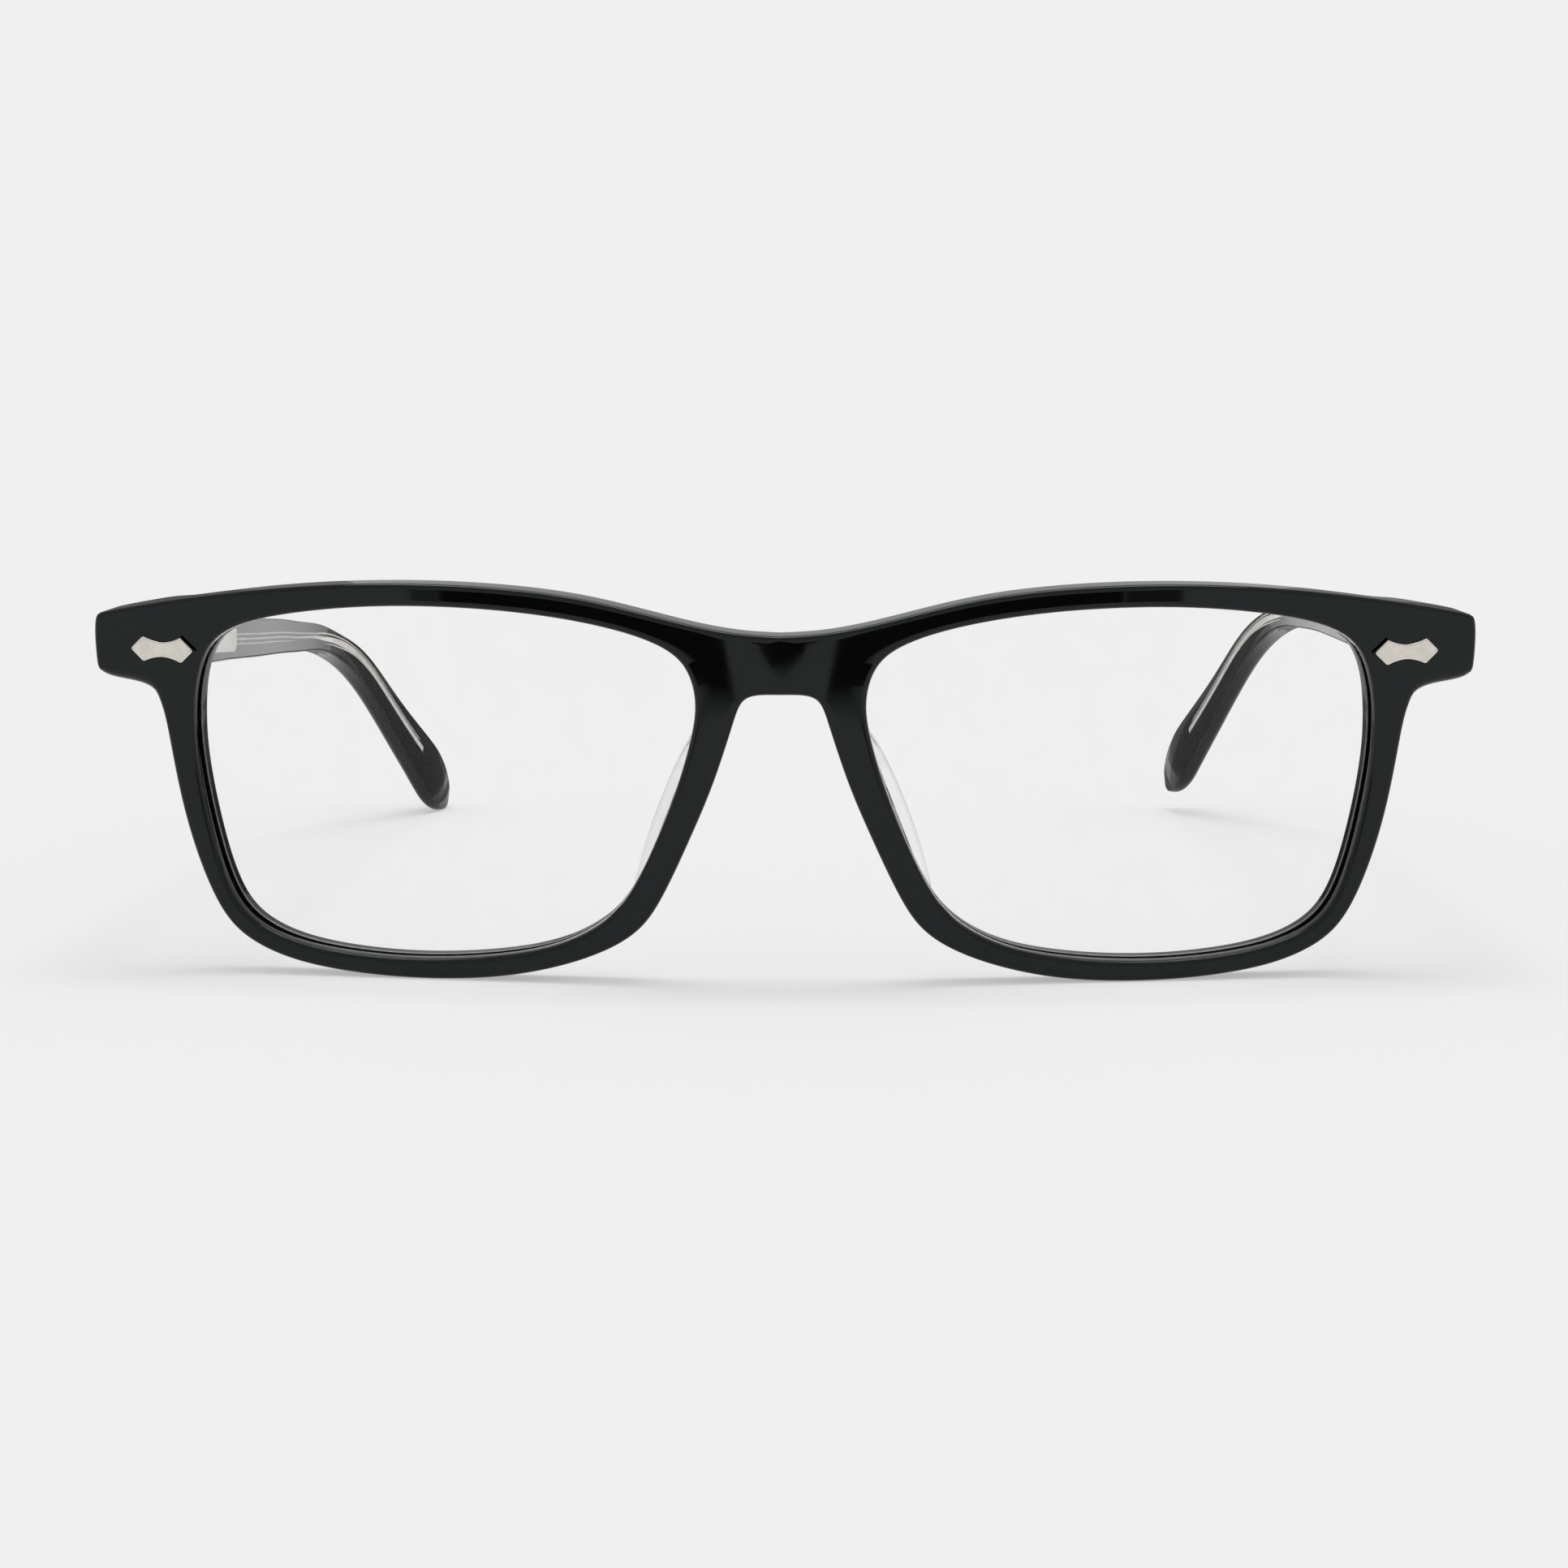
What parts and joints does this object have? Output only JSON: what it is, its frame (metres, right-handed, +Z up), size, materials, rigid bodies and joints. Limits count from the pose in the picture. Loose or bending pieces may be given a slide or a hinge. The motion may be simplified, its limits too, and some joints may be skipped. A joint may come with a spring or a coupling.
{
  "type": "eyeglasses frame",
  "caption": "Rectangular full-rim acetate eyeglasses with clear lenses, fixed nose pads, riveted metal plaques and two folding temples on barrel hinges.",
  "frame": {"origin": "bottom centre of the bounding box, on the surface that the rims and one temple tip stand on", "axes": "+Z up, +Y from the front towards the temple tips, +X towards the wearer's left"},
  "size_m": [0.1436, 0.1484, 0.0418],
  "materials": {
    "front_acetate": "polished black acetate",
    "temple_acetate": "polished black acetate, satin inside",
    "clear_acetate": "clear acetate laminate",
    "lens": "clear demonstration lens",
    "nose_pad": "clear glued pad",
    "plaque": "satin silver with bright bevel",
    "hinge_steel": "satin nickel silver",
    "screw_steel": "polished steel",
    "core_wire": "rolled nickel silver"
  },
  "bodies": {
    "front": {"front_frame": "front_acetate", "left_lens": "lens", "right_lens": "lens", "left_nose_pad": "nose_pad", "right_nose_pad": "nose_pad", "left_plaque": "plaque", "right_plaque": "plaque", "left_front_hinge": "hinge_steel", "right_front_hinge": "hinge_steel", "left_hinge_screw": "screw_steel", "right_hinge_screw": "screw_steel"},
    "left_arm": {"left_temple": "temple_acetate", "left_temple_inner": "clear_acetate", "left_core_wire": "core_wire", "left_temple_hinge": "hinge_steel"},
    "right_arm": {"right_temple": "temple_acetate", "right_temple_inner": "clear_acetate", "right_core_wire": "core_wire", "right_temple_hinge": "hinge_steel"}
  },
  "joints": [
    {"name": "left_hinge", "type": "hinge", "parent": "front", "child": "left_arm", "pos_m": [0.0629, -0.05785, 0.0352], "axis": [0, 0, 1], "range_deg": [0, 80]},
    {"name": "right_hinge", "type": "hinge", "parent": "front", "child": "right_arm", "pos_m": [-0.0629, -0.05785, 0.0352], "axis": [0, 0, -1], "range_deg": [0, 87]}
  ]
}
